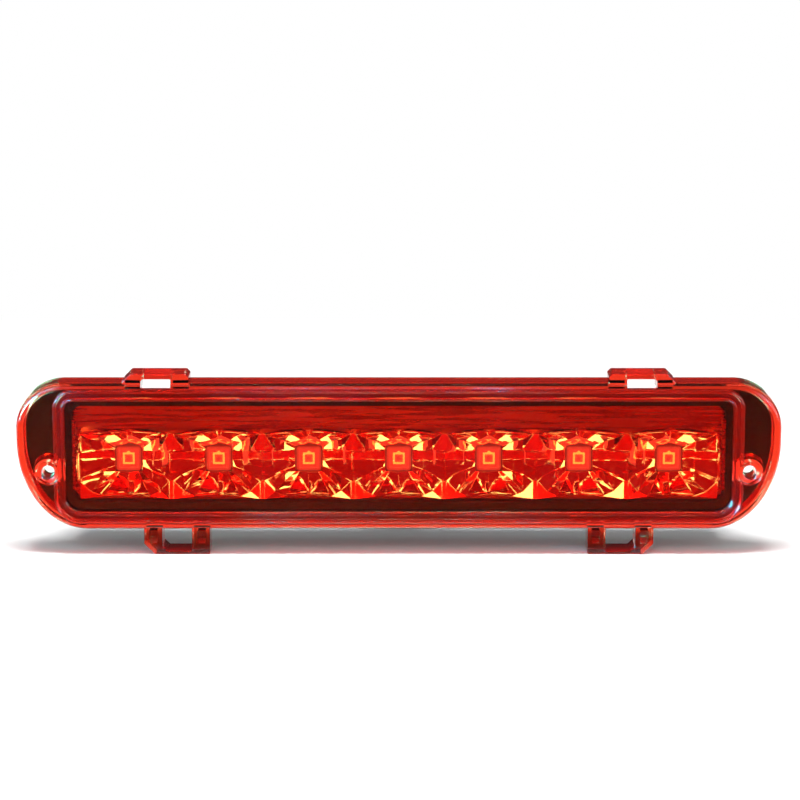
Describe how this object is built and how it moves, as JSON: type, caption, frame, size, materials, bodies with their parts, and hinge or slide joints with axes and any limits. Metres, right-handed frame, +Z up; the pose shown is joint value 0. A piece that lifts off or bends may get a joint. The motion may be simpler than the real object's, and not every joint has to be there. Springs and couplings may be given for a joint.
{
  "type": "third brake light",
  "caption": "High-mount brake lamp with a red rounded lens, snap loops, two screw towers, a row of square lamps in faceted reflector cells and a sealed rear housing.",
  "frame": {"origin": "midway between the two mounting screw holes, in the plane of the skirt's rear edge, which seats on the vehicle", "axes": "+X runs along the lamp to the right as seen from the front, +Y points into the vehicle and is the screws' direction, +Z points up"},
  "size_m": [0.226, 0.0359, 0.0547],
  "materials": {
    "lens_red": "polished transparent red acrylic",
    "housing_black": "fine moulded texture",
    "gasket_foam": "closed-cell foam",
    "reflector_metal": "vacuum-metallised mirror facets",
    "board_white": "white solder mask",
    "led_epoxy": "tinted clear epoxy",
    "lead_metal": "tinned",
    "chip": "semiconductor",
    "resistor_black": "glazed",
    "moulded_black": "moulded epoxy",
    "capacitor_tan": "ceramic",
    "header_black": "glass-filled nylon",
    "seal_rubber": "silicone",
    "terminal_brass": "tinned brass",
    "screw_steel": "zinc plated",
    "vent_white": "microporous film"
  },
  "bodies": {
    "root": {"lens": "lens_red", "housing": "housing_black", "perimeter_gasket": "gasket_foam", "reflector": "reflector_metal", "circuit_board": "board_white", "led_1": "led_epoxy", "led_2": "led_epoxy", "led_3": "led_epoxy", "led_4": "led_epoxy", "led_5": "led_epoxy", "led_6": "led_epoxy", "led_7": "led_epoxy", "led_lead_frames": "lead_metal", "led_chips": "chip", "series_resistors": "resistor_black", "reverse_diode": "moulded_black", "surge_suppressor": "moulded_black", "filter_capacitor": "capacitor_tan", "connector_header": "header_black", "header_seal": "seal_rubber", "terminal_feed": "terminal_brass", "terminal_ground": "terminal_brass", "board_screws": "screw_steel", "vent_membrane": "vent_white"}
  },
  "joints": []
}
